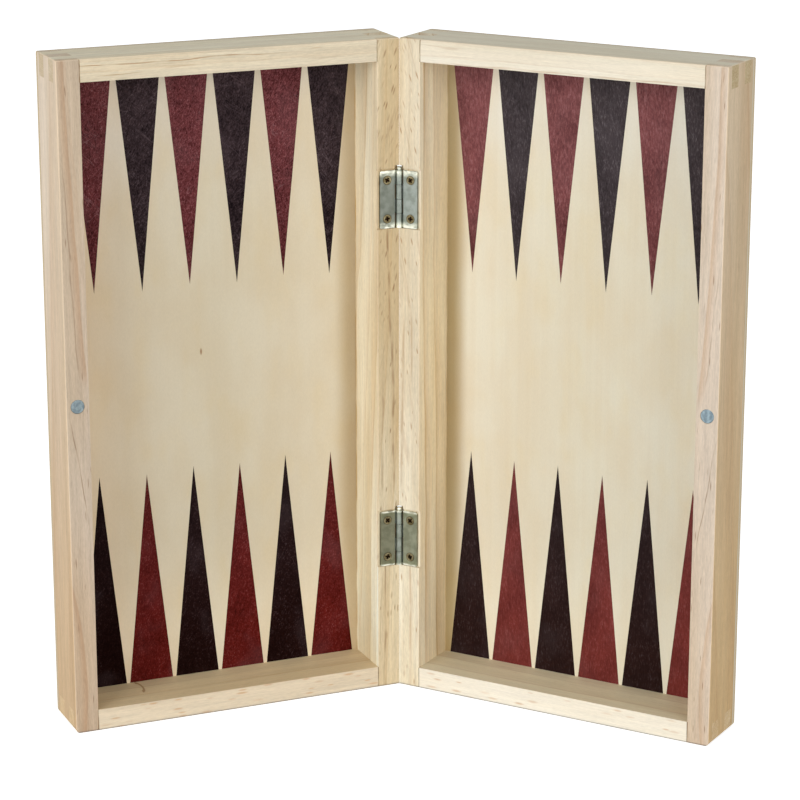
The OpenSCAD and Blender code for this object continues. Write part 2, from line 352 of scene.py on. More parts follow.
PINE_LOOK = {
    "pale": srgb(228, 211, 180),
    "deep": srgb(212, 190, 152),
    "late": srgb(196, 162, 124),
    # heart of the trunk across the board and through it, distance between rings, how far the grain
    # runs out of the board, and where the first ring starts
    "pith": (60.0, 30.0), "ring": 6.0, "runout": (0.0, 0.0), "phase": 0.0,
    # how far the rings wander, how unevenly they lie, and how wavy they are
    "sway": 0.9, "uneven": 1.2, "waves": 1.5,
    # strength of the rings on the rim and on the other faces, and of the deep tone
    "ring_share": 0.5, "side_ring_share": 0.3, "tone_share": 0.6,
    # resin flecks: share of the cells that hold one, that share's factor at the lower end, cell
    # size, radius in its cell, slant at the upper end, colour, and strength off the rim
    "flecks": 0.3, "low_flecks": 1.0, "fleck_cell": (1.6, 12.0), "fleck_size": 0.16, "slant": 0.0,
    "fleck_colour": RESIN, "side_flecks": 0.25,
    # single brown veins on the rim: place across the board at 0 along it, lean, lower and upper end
    # along it, half width, strength
    "veins": (),
    # single ring lines on the rim: place across the board, lean and bow at their lower end, lower
    # and upper end along it, width, strength
    "ring_lines": (),
    # thin growth lines: strength, and half their width; strength of the fibres
    "lines": 0.0, "line_half": 0.03, "fibre": 1.0,
    # a hair in the finish: x and y of its loop's middle, and half its width and length; strength of
    # the amber line on the inner face along the floor
    "hair": None, "glue": 0.0,
    # factors on the colour, the wood's own tone together with painted light and shade: end grain, the
    # face turned to the tray's inside, painted shade on that face near the floor, the rim, the outer
    # face, and the lower end of each face
    "end_tint": (0.84, 0.82, 0.77), "inner_tint": (1.0, 1.0, 1.0), "deep_tint": (1.0, 1.0, 1.0),
    "rim_tint": (1.0, 1.0, 1.0), "outer_tint": (1.0, 1.0, 1.0),
    "inner_low": (1.0, 1.0, 1.0), "rim_low": (1.0, 1.0, 1.0), "outer_low": (1.0, 1.0, 1.0),
}


class Pine(Finish):
    """Pine board with its grain along z or x of the tray. inward is +1 or -1, the way in which the
    face turned to the tray's inside looks. a runs across the board on its rim, b through it and c
    along its grain. on_rim, on_end, on_inner and on_outer are 1 on one kind of face each."""

    def __init__(self, name, side, grain, inward, seed, **changes):
        super().__init__(name, side, seed)
        self.seed = seed
        self.look = {**PINE_LOOK, **changes}
        upright = grain == "z"
        self.a, self.b, self.c = (self.x, self.y, self.z) if upright else (self.z, self.y, self.x)
        across, along = (0, 2) if upright else (2, 0)
        self.on_rim = self.turned(1, -1)
        self.on_end = self.ramp(self.math("ABSOLUTE", self.facing[along]), 0.6, 0.8)
        self.on_inner = self.turned(across, inward)
        self.on_outer = self.turned(across, -inward)
        sway = self.noise(self.spot(45, 170), 1.0, output=1)
        self.sway_a, self.sway_b, _ = self.parts(self.vector("SUBTRACT", sway, (0.5, 0.5, 0.5)))
        self.wave = self.minus(self.noise(self.spot(9, 26), 1.0), 0.5)
        self.fibre = self.noise(self.spot(0.6, 16), 3.0, 0.6)
        self.fine = self.noise(self.spot(0.3, 2.5), 2.0, 0.6)

    def spot(self, size, length):
        """Coordinates for noise of this size across the grain and this length along it."""
        return self.lumps((size, size, length), (self.a, self.b, self.c))

    def between(self, low, high, outside, inside):
        """1 between two places along the grain, with soft ends."""
        return self.times(self.ramp(self.c, low - outside, low + inside),
                          self.ramp(self.c, high + outside, high - inside))

    def rings(self):
        """Growth rings round the heart of the trunk, and the single ring lines: the late wood's share."""
        look, ring = self.look, self.look["ring"]
        a_ring = self.add(self.a, self.times(self.c, look["runout"][0]),
                          self.times(self.sway_a, ring * look["sway"]),
                          self.times(self.wave, look["waves"]))
        b_ring = self.add(self.b, self.times(self.c, look["runout"][1]),
                          self.times(self.sway_b, ring * look["sway"]))
        heart = self.length(self.minus(a_ring, look["pith"][0]), self.minus(b_ring, look["pith"][1]))
        uneven = self.noise(self.join(self.math("DIVIDE", heart, ring * 2.2), self.seed * 3.1), 1.0)
        year = self.math("FRACT", self.add(self.math("DIVIDE", heart, ring),
                                           self.times(uneven, look["uneven"]), look["phase"]))
        late = self.add(self.ramp(year, 0.2, 0.85, 0.0, 0.45), self.ramp(year, 0.84, 0.96, 0.0, 0.55))
        late = self.times(late, self.ramp(year, 1.0, 0.975))
        patch = self.ramp(self.noise(self.spot(16, 120)), 0.34, 0.66, 0.4, 1.0)
        share = self.ramp(self.on_rim, 0.0, 1.0, look["side_ring_share"], look["ring_share"], False)
        late = self.times(late, patch, share)
        for place, lean, bow, low, high, width, strength in look["ring_lines"]:
            up = self.minus(self.c, low)
            curve = self.add(place, self.times(up, lean), self.times(up, up, bow))
            off = self.minus(self.add(self.a, self.times(self.wave, 1.2)), curve)
            stripe = self.times(self.ramp(off, -RING_EDGE, 0.0), self.ramp(off, width, 0.0, smooth=False),
                                self.between(low, high, 0, RING_FADE), self.on_rim, strength)
            late = self.math("MAXIMUM", late, stripe)
        return late

    def fibres(self):
        """Light and dark of the fibres, round 0."""
        strand = self.noise(self.spot(2.2, 60), 2.0, 0.6)
        return self.times(self.add(self.swing(strand, 0.06), self.swing(self.fibre, 0.08),
                                   self.swing(self.fine, 0.09)), self.look["fibre"])

    def marks(self):
        """Resin flecks and thin growth lines, which lie on the faces along the grain, and veins."""
        look = self.look
        slanted = self.times(self.c, self.c, look["slant"] / (2 * LENGTH))
        face_place = self.add(self.a, self.b, slanted, self.times(self.sway_a, 3.0))
        flat = self.join(self.math("DIVIDE", face_place, look["fleck_cell"][0]),
                         self.math("DIVIDE", self.c, look["fleck_cell"][1]))
        distance, (picked, strong, long) = self.cells(self.vector("ADD", flat, self.shift))
        radius = self.ramp(long, 0.0, 1.0, look["fleck_size"] * 0.6, look["fleck_size"] * 1.2, False)
        held = self.ramp(self.z, LENGTH * UPPER_END[0], LENGTH * UPPER_END[1],
                         look["flecks"] * look["low_flecks"], look["flecks"])
        fleck = self.times(self.ramp(self.math("DIVIDE", distance, radius), 1.3, 0.3),
                           self.math("LESS_THAN", picked, held),
                           self.ramp(strong, 0.0, 1.0, 0.2, 0.75, False))
        contour = self.apart(self.noise(self.lumps((3.2, 110, 1), (face_place, self.c, 0.0)), 1.0), 0.5)
        come_and_go = self.ramp(self.noise(self.lumps((5, 30, 1), (face_place, self.c, 3.0))), 0.5, 0.62)
        line = self.times(self.ramp(contour, look["line_half"], look["line_half"] / 4), come_and_go,
                          look["lines"])
        mark = self.times(self.math("MAXIMUM", fleck, line), self.minus(1.0, self.on_end),
                          self.ramp(self.on_rim, 0.0, 1.0, look["side_flecks"], 1.0, False))
        broken = self.ramp(self.noise(self.spot(7, 11), 1.0), 0.36, 0.6, 0.3, 1.0)
        for place, lean, low, high, half, strength in look["veins"]:
            off = self.apart(self.add(self.a, self.times(self.wave, 2.5)),
                             self.add(place, self.times(self.c, lean)))
            vein = self.times(self.ramp(off, half * 1.8, half * 0.3), self.between(low, high, *VEIN_FADE),
                              broken, self.on_rim, strength)
            mark = self.math("MAXIMUM", mark, vein)
        return mark

    def tones(self, colour):
        """End grain and the faces in their own tones and painted light and shade, and paler sanded edges
        with a painted highlight.
        """
        speck = self.noise(self.lumps((0.7, 0.7, 0.7)), 2.0, 0.7)
        foot = self.ramp(self.z, LENGTH * LOWER_END[0], LENGTH * LOWER_END[1])
        # painted shade on the inner face, growing towards the floor
        deep = self.ramp(self.y, 0.0, FLOOR_Y, smooth=False)
        # face tints: the wood's own tone together with painted light and shade
        for tint, shares in (
                ("end_tint", (self.on_end, self.ramp(speck, 0.35, 0.65, 0.75, 1.0))),
                ("inner_tint", (self.on_inner,)), ("deep_tint", (self.on_inner, deep)),
                ("inner_low", (self.on_inner, foot)), ("rim_tint", (self.on_rim,)),
                ("rim_low", (self.on_rim, foot)), ("outer_tint", (self.on_outer,)),
                ("outer_low", (self.on_outer, self.ramp(self.z, LENGTH * 0.9, 0.0)))):
            colour = self.tint(colour, self.look[tint], self.times(*shares))
        # sanded edges: paler wood and a painted highlight
        steep = [self.math("ABSOLUTE", part) for part in self.facing]
        steepest = self.math("MAXIMUM", self.math("MAXIMUM", steep[0], steep[1]), steep[2])
        return self.mix(self.ramp(steepest, *EDGE_TURN, 0.0, 0.35), colour, SANDED_EDGE_HIGHLIGHT)

    def joints(self, colour):
        """Thin dark lines of the butt joints, a painted highlight on the hinge wall's inner rim edge,
        painted shade along the seam between the trays, and a painted contact shadow on the lowest edges."""
        from_joint = self.math("MINIMUM", self.apart(self.x, INSIDE_LOW_X),
                               self.apart(self.x, INSIDE_HIGH_X))
        from_end = self.math("MINIMUM", self.z, self.minus(LENGTH, self.z))
        joint = self.times(self.ramp(from_joint, *JOINT_FADE), self.math("LESS_THAN", from_end, END_T),
                           self.on_rim, self.ramp(self.noise(self.lumps((30, 30, 5))), 0.3, 0.7, 0.35, 1.0))
        colour = self.mix(joint, colour, JOINT_LINE)
        # painted highlight along the inner edge of the hinge wall's rim
        arris_highlight = self.times(self.ramp(self.x, INSIDE_LOW_X - ARRIS_HIGHLIGHT_FADE[0], INSIDE_LOW_X - ARRIS_HIGHLIGHT_FADE[1]),
                           self.math("LESS_THAN", self.x, INSIDE_LOW_X),
                           self.math("GREATER_THAN", from_end, END_T), self.on_rim, 0.4)
        colour = self.mix(arris_highlight, colour, SANDED_EDGE_HIGHLIGHT)
        spine = HINGE_LOW.x / MM
        # painted shade along the seam between the trays
        seam = self.times(self.ramp(self.x, spine + SEAM_SHADE_FADE[0], spine + SEAM_SHADE_FADE[1]), self.on_rim)
        colour = self.tint(colour, SEAM_SHADE_TINT, seam)
        # painted contact shadow on the lowest edges
        return self.tint(colour, CONTACT_SHADOW_TINT, self.ramp(self.z, *CONTACT_SHADOW_FADE))

    def hair(self, colour, hair_x, hair_y, half_wide, half_long):
        """A hair in the finish of the inner face: half of a thin oval."""
        away = self.length(self.math("DIVIDE", self.minus(self.x, hair_x), half_wide),
                           self.math("DIVIDE", self.minus(self.y, hair_y), half_long))
        loop = self.times(self.ramp(self.apart(away, 1.0), 0.35, 0.1),
                          self.math("LESS_THAN", self.x, hair_x), self.on_inner, 0.7)
        return self.mix(loop, colour, HAIR)

    def amber_floor_line(self, colour, strength):
        """An amber line on the inner face along the floor."""
        uneven = self.ramp(self.noise(self.lumps((40, 40, 16))), 0.35, 0.6, 0.3, 1.0)
        above = self.ramp(self.y, FLOOR_Y - FLOOR_LINE_FADE[0], FLOOR_Y - FLOOR_LINE_FADE[1])
        return self.mix(self.times(uneven, self.on_inner, above, strength), colour, FLOOR_LINE_AMBER)


def pine(name, side, **changes):
    """Material of a pine board. The changes are those to PINE_LOOK and what Pine asks for."""
    f = Pine(name, side, **changes)
    look = f.look
    tone = f.ramp(f.noise(f.spot(18, 190), 3.0, 0.55), 0.34, 0.66)
    colour = f.mix(f.times(tone, look["tone_share"]), look["pale"], look["deep"])
    colour = f.mix(f.rings(), colour, look["late"])
    colour = f.brighten(colour, f.fibres())
    mark = f.marks()
    colour = f.mix(mark, colour, look["fleck_colour"])
    colour = f.joints(f.tones(colour))
    if look["hair"]:
        colour = f.hair(colour, *look["hair"])
    if look["glue"]:
        colour = f.amber_floor_line(colour, look["glue"])
    f.finish(colour, f.ramp(f.fibre, 0.2, 0.8, 0.62, 0.52, False))
    f.bump(f.minus(f.add(f.fibre, f.times(f.fine, 0.5)), f.times(mark, 0.6)), 0.05 * MM, 0.3)
    return f.material


# Where the panels' tints of painted light and shade fade in, in millimetres: near the bottom wall,
# near the top wall and in the upper part, as z, and towards the hinge wall, towards the outer wall,
# along it and in the painted shadow along the hinge wall, as x
FOOT_FADE = (78.0, 14.0)
HEAD_FADE = (218.0, 268.0)
UPPER_FADE = (190.0, 265.0)
MIDDLE_X = (INSIDE_LOW_X + INSIDE_HIGH_X) / 2
LOW_X_FADE = (MIDDLE_X, INSIDE_LOW_X + 8.0)
HIGH_X_FADE = (MIDDLE_X, INSIDE_HIGH_X)
WALL_FADE = (98.0, 132.0)
HINGE_SHADOW_FADE = (INSIDE_LOW_X + 11.0, INSIDE_LOW_X + 2.5)
BLOTCH_TINT = (1.0, 0.97, 0.90)
PLY_EDGE_TINT = (0.86, 0.84, 0.80)


def plywood(name, side, seed, pale, warm, streaky, low_x_tint, high_x_tint, hinge_shadow_tint, foot_tint,
            head_tint, upper_tint=None, wall_tint=None, spot=None):
    """Plywood panel. Its tints paint light and shade: near the hinge wall, near the outer wall, the
    hinge wall's shadow in the corner along it, near the bottom wall, near the top wall, in the upper
    part near the outer wall, and along the outer wall. spot is the x and z of one small brown
    speck."""
    f = Finish(name, side, seed)
    cloud = f.ramp(f.noise(f.lumps((24, 24, 44)), 3.0, 0.55), 0.34, 0.66)
    band = f.ramp(f.noise(f.lumps((7, 30, 240)), 2.0, 0.5), 0.35, 0.65)
    blotch = f.ramp(f.noise(f.lumps((11, 11, 26), (f.x, f.y, f.add(f.z, 70.0))), 2.0, 0.6), 0.45, 0.75)
    streak = f.noise(f.lumps((1.1, 4, 60)), 3.0, 0.6)
    fine = f.noise(f.lumps((0.6, 0.6, 1.4)), 3.0, 0.7)
    colour = f.mix(f.add(f.times(cloud, 0.5), f.times(band, 0.4 * streaky)), pale, warm)
    colour = f.tint(colour, BLOTCH_TINT, f.times(blotch, 0.8))
    colour = f.brighten(colour, f.add(f.swing(streak, 0.02 * streaky), f.swing(fine, 0.03)))
    # painted light and shade: tints near the hinge wall and near the outer wall
    outward = f.ramp(f.x, *HIGH_X_FADE, smooth=False)
    colour = f.tint(colour, low_x_tint, f.ramp(f.x, *LOW_X_FADE, smooth=False))
    colour = f.tint(colour, high_x_tint, outward)
    on_floor = f.turned(1, -1)
    # painted light near the bottom and top walls, in the upper part and along the outer wall
    colour = f.tint(colour, foot_tint, f.times(on_floor, f.ramp(f.z, *FOOT_FADE)))
    colour = f.tint(colour, head_tint, f.times(on_floor, f.ramp(f.z, *HEAD_FADE)))
    if upper_tint:
        colour = f.tint(colour, upper_tint, f.times(on_floor, outward, f.ramp(f.z, *UPPER_FADE)))
    if wall_tint:
        colour = f.tint(colour, wall_tint, f.times(on_floor, f.ramp(f.x, *WALL_FADE)))
    # painted shadow of the hinge wall on the floor beside it
    colour = f.tint(colour, hinge_shadow_tint, f.times(on_floor, f.ramp(f.x, *HINGE_SHADOW_FADE)))
    if spot:
        away = f.length(f.minus(f.x, spot[0]), f.times(f.minus(f.z, spot[1]), 0.35))
        colour = f.mix(f.times(f.ramp(away, 0.7, 0.2), on_floor, 0.8), colour, RESIN)
    on_edge = f.ramp(f.math("ABSOLUTE", f.facing[1]), 0.7, 0.4)
    core = f.times(f.math("LESS_THAN", f.apart(f.y, (FLOOR_Y + BACK_Y) / 2),
                          (BACK_Y - FLOOR_Y) / 2 - LAYER_T), on_edge)
    colour = f.tint(colour, PLY_EDGE_TINT, on_edge)
    colour = f.mix(f.times(core, 0.8), colour, PLY_CORE)
    f.finish(colour, f.ramp(fine, 0.2, 0.8, 0.6, 0.5, False))
    f.bump(f.add(fine, f.times(streak, 0.5)), 0.03 * MM, 0.2)
    return f.material


# Scratches in the stain: angle in degrees, width and length of the noise, and half their width in it
SCRATCHES = ((40, 5.0, 45.0, 0.008), (-50, 2.6, 22.0, 0.012), (38, 2.2, 26.0, 0.012))


def stain(name, side, seed, deep, top, speck, streaky, rough):
    """Wood stain, deep at the bottom of the tray and paler and greyer at the top as a painted sheen,
    with pale specks where the grain kept it off. streaky draws its lumps out along z, and rough says how
    strong they are."""
    f = Finish(name, side, seed)
    # painted sheen: the stain turns paler and greyer towards the top of the tray
    colour = f.mix(f.ramp(f.z, LENGTH * 0.1, LENGTH, smooth=False), deep, top)
    slanted = f.add(f.x, f.times(f.z, 0.25 * (1 - streaky)))
    cloud = f.noise(f.lumps((14, 14, 24)), 3.0, 0.55)
    broad = f.noise(f.lumps((1.6, 1.6, 2.2 + 6 * streaky), (slanted, f.y, f.z)), 2.0, 0.5)
    grain = f.noise(f.lumps((0.5, 0.5, 0.7 + 1.5 * streaky), (slanted, f.y, f.z)), 3.0, 0.75)
    # wear, with a painted sheen, grows towards the top
    wear_and_sheen = f.ramp(f.z, LENGTH * WEAR_AND_SHEEN_END[0], LENGTH * WEAR_AND_SHEEN_END[1])
    coarse = f.add(f.times(wear_and_sheen, 0.55), 0.95)
    tip = f.ramp(f.apart(f.z, LENGTH / 2), *TIP_FADE, 0.0, -0.16, False)
    blotchy = 0.17 * rough * (1 - 0.6 * streaky)
    rubbed = f.add(f.ramp(broad, 0.25, 0.75, -blotchy, blotchy, False),
                   f.ramp(grain, 0.25, 0.75, -0.60 * rough, 0.50 * rough, False))
    cloudy = f.add(f.swing(cloud, 0.20), tip)
    colour = f.brighten(colour, f.add(cloudy, f.times(rubbed, coarse)))
    # painted sheen: soft pale clouds in the stain
    sheen_haze = f.noise(f.lumps((16, 16, 22), (f.add(f.x, 50.0), f.y, f.z)), 2.0, 0.55)
    colour = f.mix(f.ramp(sheen_haze, 0.48, 0.7, 0.0, 0.10 * rough), colour, speck)
    patch = f.ramp(f.add(cloud, f.times(broad, 0.6)), 0.6, 1.0, 0.15, 0.75 * rough)
    patch = f.times(patch, f.add(f.times(wear_and_sheen, 0.55), 0.45))
    colour = f.mix(f.times(f.ramp(grain, 0.54, 0.70), patch), colour, speck)
    # fine light scratches, each a thin contour of a stretched noise
    bend = f.times(f.noise(f.lumps((70, 70, 70)), 0.0), 26.0)
    for angle, wide, long, half in SCRATCHES:
        turned_x, turned_z, _ = f.parts(f.turn_z(f.join(f.x, f.z), math.radians(angle)))
        stretched = f.lumps((wide, long, 1), (f.add(turned_x, bend), turned_z, angle))
        contour = f.apart(f.noise(stretched, 1.0), 0.5)
        broken = f.ramp(f.noise(f.lumps((9, 9, 9), (f.x, angle, f.z))), 0.48, 0.6)
        scratch = f.times(f.ramp(contour, half, half / 8), broken, wear_and_sheen, 0.4 * (1 - streaky) + 0.05)
        colour = f.mix(scratch, colour, speck)
    f.finish(colour, f.ramp(grain, 0.2, 0.8, 0.60, 0.48, False), specular=0.0)
    f.bump(grain, 0.03 * MM, 0.3)
    return f.material


# Metal: colours, and in millimetres how far from the hinge axis a leaf's barrel ends, how far the
# yellow cast reaches from a leaf's ends, how deep in a screw head its recess starts, and the least
# height between two screws
STEEL_END_TINT = (1.0, 1.02, 0.86)
# painted highlight on the steel towards the ends of the leaves
STEEL_HIGHLIGHT = srgb(222, 222, 206)
# dirt round a screw's recess and painted shade at the rim of its head
GRIME_AND_SHADE = srgb(66, 46, 24)
# painted shade inside a screw's cross recess
RECESS_SHADE = srgb(26, 16, 8)
BARREL_FADE = (2.1, 1.7)
STEEL_END_FADE = (5.0, 1.5)
RECESS_FADE = (0.06, 0.18)
SCREWS_APART = 1.5

# Grime on a screw's head round the recess, and painted shade at its rim, as shares of the head's radius
RECESS_GRIME = (0.82, 0.3)
RIM_SHADE = (0.84, 1.0)


def metal(name, side, seed, colour, dark, lump, roughness):
    """Dull metal with soft clouds in its colour. Returns the finish and its cloudy colour."""
    f = Finish(name, side, seed)
    place = f.vector("ADD", f.vector("MULTIPLY", f.seen["Object"], (1 / lump,) * 3), f.shift)
    cloud = f.ramp(f.noise(place, 3.0, 0.5), 0.32, 0.68)
    fine = f.noise(f.vector("MULTIPLY", place, (6.0, 6.0, 6.0)), 3.0, 0.7)
    shade = f.mix(cloud, colour, dark)
    f.finish(shade, f.add(roughness, f.ramp(fine, 0.3, 0.7, -0.05, 0.06, False)), metallic=1.0)
    f.bump(fine, 0.02 * MM, 0.2)
    return f, shade


def steel(hinge, piece, tint, highlight_reach):
    """Zinc-plated steel of one piece of a hinge, with its own tint on the barrel and a painted highlight
    towards the ends of its leaves."""
    low, high = (corner / MM for corner in tray_box("right", hinge + "_hinge_right_leaf"))
    f, shade = metal("steel_" + hinge + "_" + piece, "right", 1.0, srgb(134, 138, 134),
                     srgb(114, 118, 112), 3.0 * MM, 0.40)
    on_barrel = f.ramp(f.length(f.x, f.y), *BARREL_FADE)
    shade = f.mix(on_barrel, f.tint(shade, tint), f.tint(shade, BARREL_TINT[hinge]))
    from_end = f.math("MINIMUM", f.minus(f.z, low.z), f.minus(high.z, f.z))
    # painted highlight towards the ends of the leaves
    wear_and_sheen = f.ramp(from_end, highlight_reach, 0.2)
    wear_and_sheen = f.times(wear_and_sheen, f.ramp(f.noise(f.lumps((3.0, 3.0, 2.0))), 0.3, 0.6, 0.2, 0.95))
    shade = f.tint(shade, STEEL_END_TINT, f.times(f.ramp(from_end, *STEEL_END_FADE), 0.5))
    f.feed(f.shader.inputs["Base Color"], f.mix(wear_and_sheen, shade, STEEL_HIGHLIGHT))
    return f.material


def screw_places():
    """Heights of one tray's screws and the radius of their heads, in millimetres."""
    to_tray = tray_matrix("right")
    heights = sorted((to_tray @ vertex.co).z / MM for vertex in NODES["right_hinge_screws"].data.vertices)
    groups = [[heights[0]]]
    for height in heights[1:]:
        if height - groups[-1][-1] > SCREWS_APART:
            groups.append([])
        groups[-1].append(height)
    return [(group[0] + group[-1]) / 2 for group in groups], (groups[0][-1] - groups[0][0]) / 2


def brass(side):
    """Dull brass screws with dirt round the cross recess, and painted shade in the recess and at the rim of
    the head.
    """
    f, shade = metal("brass_" + side, side, 2.0, srgb(134, 126, 98), srgb(94, 85, 58), 1.5 * MM, 0.42)
    places, radius = screw_places()
    middle = (SCREW_LOW.x + SCREW_HIGH.x) / 2 / MM
    away = LENGTH
    for place in places:
        away = f.math("MINIMUM", away, f.length(f.minus(f.x, middle), f.minus(f.z, place)))
    away = f.math("DIVIDE", away, radius)
    # dirt round the recess, and painted shade at the rim of the head
    grime_and_shade = f.math("MAXIMUM", f.ramp(away, *RECESS_GRIME), f.ramp(away, *RIM_SHADE))
    shade = f.mix(f.times(grime_and_shade, 0.75), shade, GRIME_AND_SHADE)
    # painted shade inside the cross recess
    recess = f.ramp(f.minus(f.y, SCREW_LOW.y / MM), *RECESS_FADE)
    f.feed(f.shader.inputs["Base Color"], f.mix(recess, shade, RECESS_SHADE))
    return f.material


def dress(node, made):
    part = NODES[node]
    part.data.materials.clear()
    part.data.materials.append(made)


SANDED = {side: edge_rounding(side) for side in SIDES}
BOARDS = {
    "left_outer_wall": dict(
        grain="z", inward=-1, seed=1.0, pale=srgb(216, 198, 178), deep=srgb(204, 180, 150),
        late=srgb(186, 140, 98), pith=(190.0, -25.0), ring=14.0, runout=(-0.06, 0.0), phase=0.227,
        sway=0.12, uneven=0.0, waves=1.2, ring_share=0.15, side_ring_share=0.25,
        ring_lines=((140.8, 0.057, -0.00008, 150.0, 305.0, 3.4, 0.50),
                    (147.7, -0.175, 0.0025, -15.0, 90.0, 3.0, 0.44)),
        veins=((128.0, 0.146, 94.0, 140.0, 0.2, 0.6), (135.7, 0.052, 158.0, 244.0, 0.22, 0.42)),
        flecks=0.2, fleck_cell=(1.8, 20.0), fleck_size=0.11, slant=-0.06,
        rim_tint=(0.735, 0.735, 0.74), rim_low=(1.03, 0.97, 0.91), outer_tint=(0.93, 0.94, 0.94),
        outer_low=(0.88, 0.74, 0.54), end_tint=(0.83, 0.80, 0.71)),
    "left_hinge_wall": dict(
        grain="z", inward=1, seed=2.0, pale=srgb(236, 223, 196), deep=srgb(214, 190, 150),
        late=srgb(200, 166, 118), pith=(60.0, 40.0), ring=5.0, runout=(0.03, 0.02), ring_share=0.4,
        side_ring_share=0.8, tone_share=0.9, flecks=0.6, low_flecks=0.45, fleck_cell=(1.7, 8.0),
        fleck_size=0.22, fleck_colour=srgb(142, 100, 58), slant=0.35, lines=0.2, line_half=0.07,
        side_flecks=0.12,
        veins=((1.0, 0.0202, 160.0, 212.0, 0.42, 0.65), (1.4, 0.0117, 92.0, 160.0, 0.5, 0.6),
               (7.9, 0.0, 88.0, 150.0, 0.45, 0.35), (6.6, 0.0, -10.0, 62.0, 0.35, 0.55)),
        rim_tint=(0.76, 0.75, 0.72), rim_low=(1.06, 1.04, 1.0), inner_tint=(1.05, 1.11, 1.20),
        deep_tint=(0.90, 0.86, 0.78), inner_low=(1.16, 1.27, 1.38), glue=0.9),
    "left_top_wall": dict(
        grain="x", inward=-1, seed=3.0, pale=srgb(217, 202, 178), deep=srgb(205, 186, 155),
        pith=(330.0, -10.0), ring=5.0, ring_share=0.3, flecks=0.12, fleck_cell=(1.6, 30.0),
        fleck_size=0.11, fleck_colour=srgb(160, 116, 72), lines=0.2, line_half=0.03,
        veins=((287.2, 0.0, 45.0, 142.0, 0.2, 0.75), (282.6, 0.0, 112.0, 131.0, 0.2, 0.6)),
        rim_tint=(0.93, 0.965, 0.99), outer_tint=(1.03, 1.08, 1.06), end_tint=(0.76, 0.72, 0.66)),
    "left_bottom_wall": dict(
        grain="x", inward=1, seed=4.0, pale=srgb(226, 206, 176), deep=srgb(216, 192, 158),
        pith=(-30.0, 60.0), ring=7.0, ring_share=0.2, side_ring_share=0.5, fibre=0.7,
        flecks=0.45, fleck_cell=(2.1, 10.0), fleck_size=0.24, fleck_colour=srgb(206, 158, 112),
        rim_tint=(0.89, 0.93, 0.99), inner_tint=(0.95, 0.95, 0.87), end_tint=(0.82, 0.74, 0.58),
        hair=(115.8, 18.4, 1.7, 5.4)),
    "right_outer_wall": dict(
        grain="z", inward=-1, seed=5.0, pale=srgb(222, 203, 182), deep=srgb(209, 186, 158),
        late=srgb(190, 146, 104), pith=(190.0, -25.0), ring=11.8, runout=(-0.075, 0.0), phase=0.495,
        sway=0.12, uneven=0.0, waves=1.2, ring_share=0.15, side_ring_share=0.4, tone_share=0.8,
        ring_lines=((140.8, 0.078, -0.00023, 145.0, 305.0, 3.2, 0.44),
                    (148.6, -0.18, 0.0025, -15.0, 88.0, 3.0, 0.40)),
        veins=((128.3, 0.156, 86.0, 138.0, 0.2, 0.55), (129.6, 0.091, 158.0, 203.0, 0.22, 0.45)),
        flecks=0.2, fleck_cell=(1.8, 18.0), fleck_size=0.12, slant=-0.07,
        rim_tint=(0.785, 0.805, 0.835), rim_low=(1.08, 1.06, 1.04), outer_tint=(0.79, 0.75, 0.65),
        outer_low=(0.95, 0.84, 0.61), end_tint=(0.80, 0.79, 0.71)),
    "right_hinge_wall": dict(
        grain="z", inward=1, seed=6.0, pale=srgb(232, 217, 189), deep=srgb(216, 193, 154),
        late=srgb(188, 150, 102), pith=(70.0, 45.0), ring=5.0, runout=(0.02, -0.02), ring_share=0.2,
        side_ring_share=1.0, tone_share=0.8, flecks=0.5, low_flecks=0.5, fleck_cell=(1.7, 8.0),
        fleck_size=0.2, fleck_colour=srgb(170, 124, 80), slant=0.33, lines=0.2, line_half=0.06,
        side_flecks=0.12,
        veins=((5.6, 0.0, -10.0, 60.0, 0.5, 0.45), (6.1, 0.0, 142.0, 172.0, 0.4, 0.4),
               (-0.5, 0.017, 94.0, 168.0, 0.45, 0.4)),
        rim_tint=(0.825, 0.85, 0.89), rim_low=(1.19, 1.24, 1.29), inner_tint=(1.05, 1.08, 1.10),
        deep_tint=(0.93, 0.90, 0.82), glue=0.45),
    "right_top_wall": dict(
        grain="x", inward=-1, seed=7.0, pale=srgb(228, 217, 196), deep=srgb(216, 200, 172),
        pith=(340.0, -10.0), ring=5.0, ring_share=0.2, fibre=0.6, flecks=0.07, fleck_cell=(1.6, 30.0),
        fleck_size=0.11, fleck_colour=srgb(176, 134, 88), lines=0.25, line_half=0.03,
        veins=((281.1, 0.0, 20.0, 142.0, 0.25, 0.4),),
        rim_tint=(0.925, 0.955, 1.0), outer_tint=(0.89, 0.91, 0.89), end_tint=(0.56, 0.47, 0.305)),
    "right_bottom_wall": dict(
        grain="x", inward=1, seed=8.0, pale=srgb(241, 229, 208), deep=srgb(232, 215, 187),
        pith=(-30.0, 60.0), ring=7.0, ring_share=0.15, side_ring_share=0.4, fibre=0.6,
        flecks=0.4, fleck_cell=(2.1, 10.0), fleck_size=0.24, fleck_colour=srgb(206, 162, 118),
        rim_tint=(0.925, 0.965, 1.02), inner_tint=(0.87, 0.87, 0.79), end_tint=(0.63, 0.50, 0.31)),
}
for node, look in BOARDS.items():
    side = node.split("_")[0]
    sand(NODES[node], SANDED[side])
    dress(node, pine("pine_" + node, side, **look))

